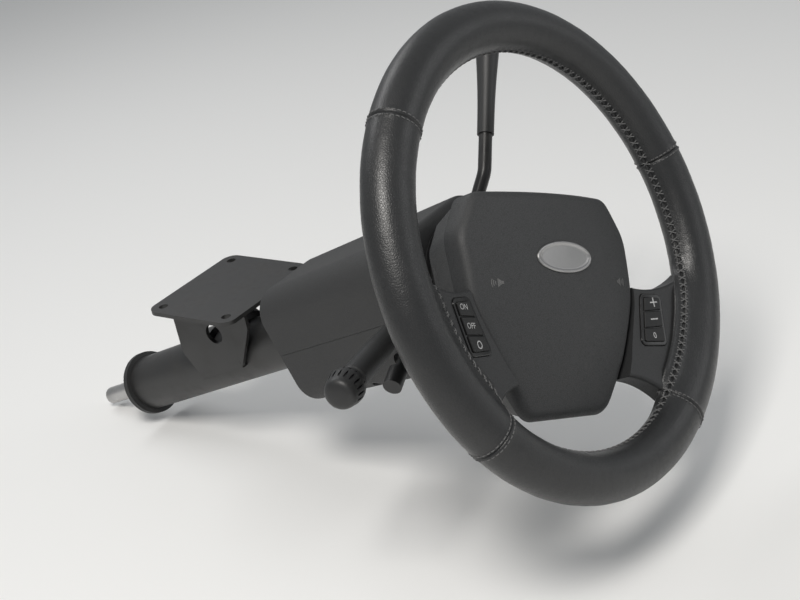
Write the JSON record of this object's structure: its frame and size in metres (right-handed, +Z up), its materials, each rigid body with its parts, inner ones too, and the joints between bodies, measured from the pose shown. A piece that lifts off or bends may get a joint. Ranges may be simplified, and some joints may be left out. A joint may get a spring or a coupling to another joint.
{
  "type": "car steering wheel and tilting steering column with column gear lever",
  "caption": "Leather-wrapped steering wheel with airbag pad and side spokes on a tilting steering column with signal stalk, column gear lever, shrouds and mounting bracket.",
  "frame": {"origin": "centre of the four bolt holes in the top face of the column's mounting bracket", "axes": "+X to the driver's right, +Y forward in the car, +Z up; the column axis rises 22 degrees towards the driver"},
  "size_m": [0.4, 0.6827, 0.4343],
  "materials": {
    "rim_leather": "black grained leather, stitched, satin",
    "rim_foam": "moulded foam under the leather",
    "cast_metal": "as cast",
    "pad_skin": "soft grained vinyl, charcoal",
    "grained_black": "grained, satin",
    "shroud_black": "grained, satin",
    "badge_grey": "satin, bare oval",
    "gloss_black": "gloss",
    "button_black": "satin",
    "switch_plastic": "plain moulded",
    "lever_black": "fine grained, satin",
    "lock_metal": "satin plated",
    "bare_steel": "turned",
    "black_steel": "black, satin",
    "painted_steel": "black dipped, satin"
  },
  "bodies": {
    "column": {"jacket_tube": "painted_steel", "tilt_yoke": "painted_steel", "mounting_bracket": "painted_steel", "lower_bearing": "switch_plastic"},
    "lower_shaft": {"lower_shaft": "bare_steel"},
    "tilt_head": {"head_casting": "cast_metal", "head_bearings": "bare_steel", "clock_spring": "switch_plastic", "shroud_upper": "shroud_black", "shroud_lower": "shroud_black", "signal_switch": "switch_plastic", "lock_cylinder": "lock_metal", "hazard_button": "button_black", "tilt_lever": "lever_black"},
    "stalk": {"stalk_lever": "lever_black", "stalk_knob": "lever_black"},
    "gear_lever": {"shift_collar": "switch_plastic", "gear_lever_rod": "black_steel", "gear_lever_grip": "lever_black"},
    "wheel": {"rim_core": "rim_foam", "rim_leather": "rim_leather", "wheel_armature": "cast_metal", "spoke_cover_left": "grained_black", "spoke_cover_right": "grained_black", "hub_back_cover": "grained_black", "airbag_pad": "pad_skin", "badge_oval": "badge_grey", "switch_bezel_left": "gloss_black", "switch_bezel_right": "gloss_black", "switch_buttons_left": "button_black", "switch_buttons_right": "button_black", "wheel_bolt": "bare_steel", "upper_shaft": "bare_steel"}
  },
  "joints": [
    {"name": "column_tilt", "type": "hinge", "parent": "column", "child": "tilt_head", "pos_m": [0, -0.19471, 0.00867], "axis": [1, 0, 0], "range_deg": [-10, 10]},
    {"name": "wheel_turn", "type": "hinge", "parent": "tilt_head", "child": "wheel", "pos_m": [0, -0.37087, 0.07984], "axis": [0, -0.9272, 0.3746], "range_deg": [-513, 567]},
    {"name": "lower_shaft_turn", "type": "hinge", "parent": "column", "child": "lower_shaft", "pos_m": [0, -0.19471, 0.00867], "axis": [0, -0.9272, 0.3746], "range_deg": [-513, 567]},
    {"name": "stalk_swing", "type": "hinge", "parent": "tilt_head", "child": "stalk", "pos_m": [-0.049, -0.25127, 0.03152], "axis": [0, -0.9272, 0.3746], "range_deg": [-12, 12]},
    {"name": "gear_lever_swing", "type": "hinge", "parent": "tilt_head", "child": "gear_lever", "pos_m": [0, -0.24849, 0.03039], "axis": [0, -0.9272, 0.3746], "range_deg": [-45, 0]}
  ],
  "couplings": [
    {"joint": "lower_shaft_turn", "follows": "wheel_turn", "ratio": 1}
  ]
}
